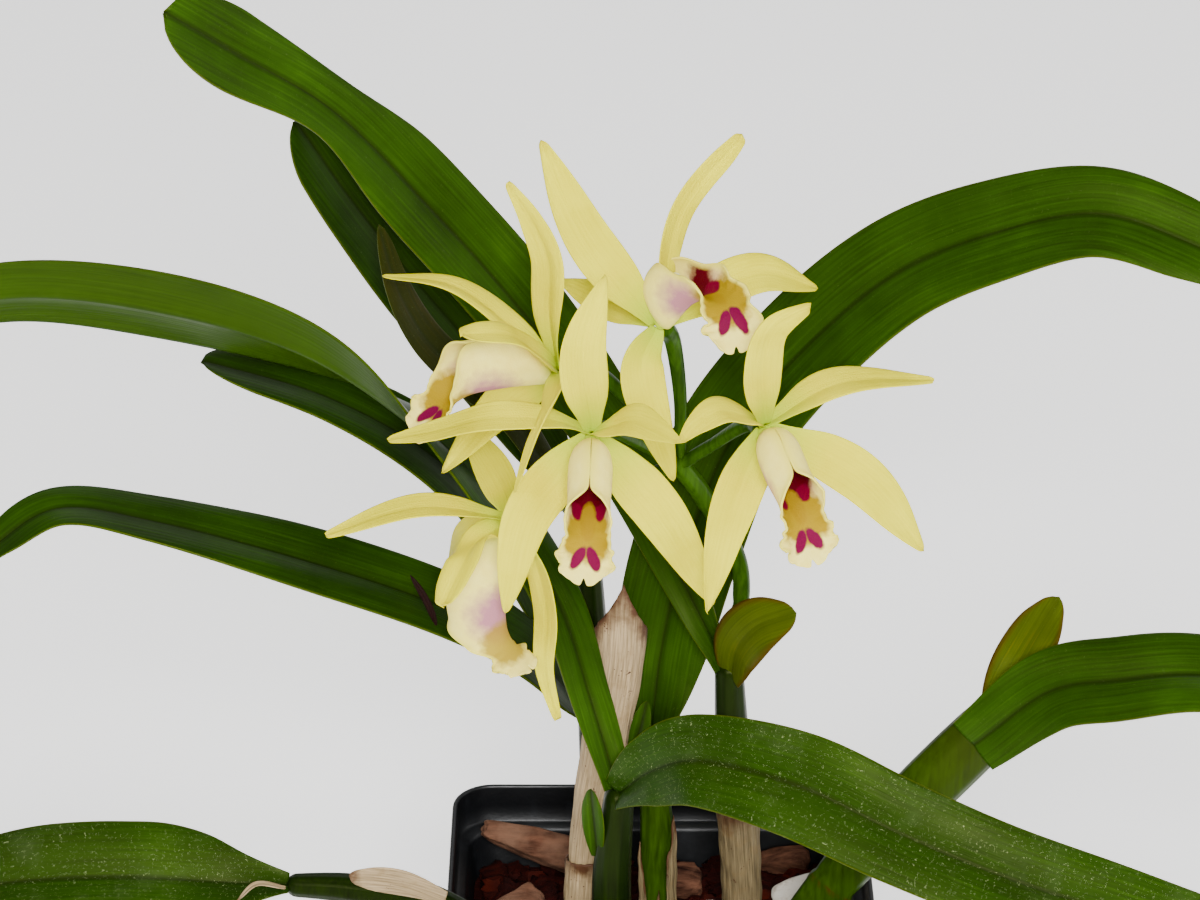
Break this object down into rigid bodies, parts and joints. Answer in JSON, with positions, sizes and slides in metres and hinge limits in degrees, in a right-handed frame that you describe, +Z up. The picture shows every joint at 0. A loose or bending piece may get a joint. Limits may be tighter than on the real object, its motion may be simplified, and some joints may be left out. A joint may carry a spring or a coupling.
{
  "type": "potted orchid plant",
  "caption": "Cattleya orchid in bloom with strap leaves, green and dried canes and pale yellow flowers with marked lips, standing in a square black nursery pot of bark",
  "frame": {"origin": "centre of the pot's flat base", "axes": "+Z up along the pot's axis, +Y to the back, -Y to the front that the picture shows, +X to the viewer's right; leaves spread mostly along X"},
  "size_m": [0.373, 0.1445, 0.3665],
  "materials": {
    "leaf_green": "satin",
    "cane_green": "satin",
    "bract_green": "satin",
    "dry_sheath": "matte",
    "petal_yellow": "satin",
    "lip_white": "satin",
    "column_white": "satin",
    "pot_black": "satin",
    "soil_brown": "matte",
    "bark": "matte",
    "stone": "matte"
  },
  "bodies": {
    "root": {"bark_soil": "soil_brown", "bloom_centre_column": "column_white", "bloom_centre_lip": "lip_white", "bloom_centre_tepals": "petal_yellow", "bloom_left_column": "column_white", "bloom_left_lip": "lip_white", "bloom_left_tepals": "petal_yellow", "bloom_low_column": "column_white", "bloom_low_lip": "lip_white", "bloom_low_tepals": "petal_yellow", "bloom_right_column": "column_white", "bloom_right_lip": "lip_white", "bloom_right_tepals": "petal_yellow", "bloom_top_column": "column_white", "bloom_top_lip": "lip_white", "bloom_top_tepals": "petal_yellow", "bract_front": "bract_green", "bract_left": "dry_sheath", "bract_low": "bract_green", "bract_middle": "bract_green", "bract_right": "bract_green", "cane_back": "cane_green", "cane_dried": "dry_sheath", "cane_far_back": "cane_green", "cane_front": "cane_green", "cane_front_second": "cane_green", "cane_left": "cane_green", "cane_middle": "cane_green", "cane_right": "cane_green", "chip_back": "bark", "chip_brown": "bark", "chip_middle": "bark", "chip_right": "bark", "flower_stalk": "cane_green", "leaf_behind_left": "leaf_green", "leaf_front_right": "leaf_green", "leaf_left_dark": "leaf_green", "leaf_left_ground": "leaf_green", "leaf_left_long": "leaf_green", "leaf_left_low": "leaf_green", "leaf_right_low": "leaf_green", "leaf_upper_left": "leaf_green", "leaf_upper_right": "leaf_green", "pebble": "stone", "pot": "pot_black", "sheath_middle": "dry_sheath", "sheath_second": "dry_sheath", "spathe_left": "bract_green", "stone_flat": "stone", "tendril_left": "dry_sheath", "thorn_left": "dry_sheath"}
  },
  "joints": []
}
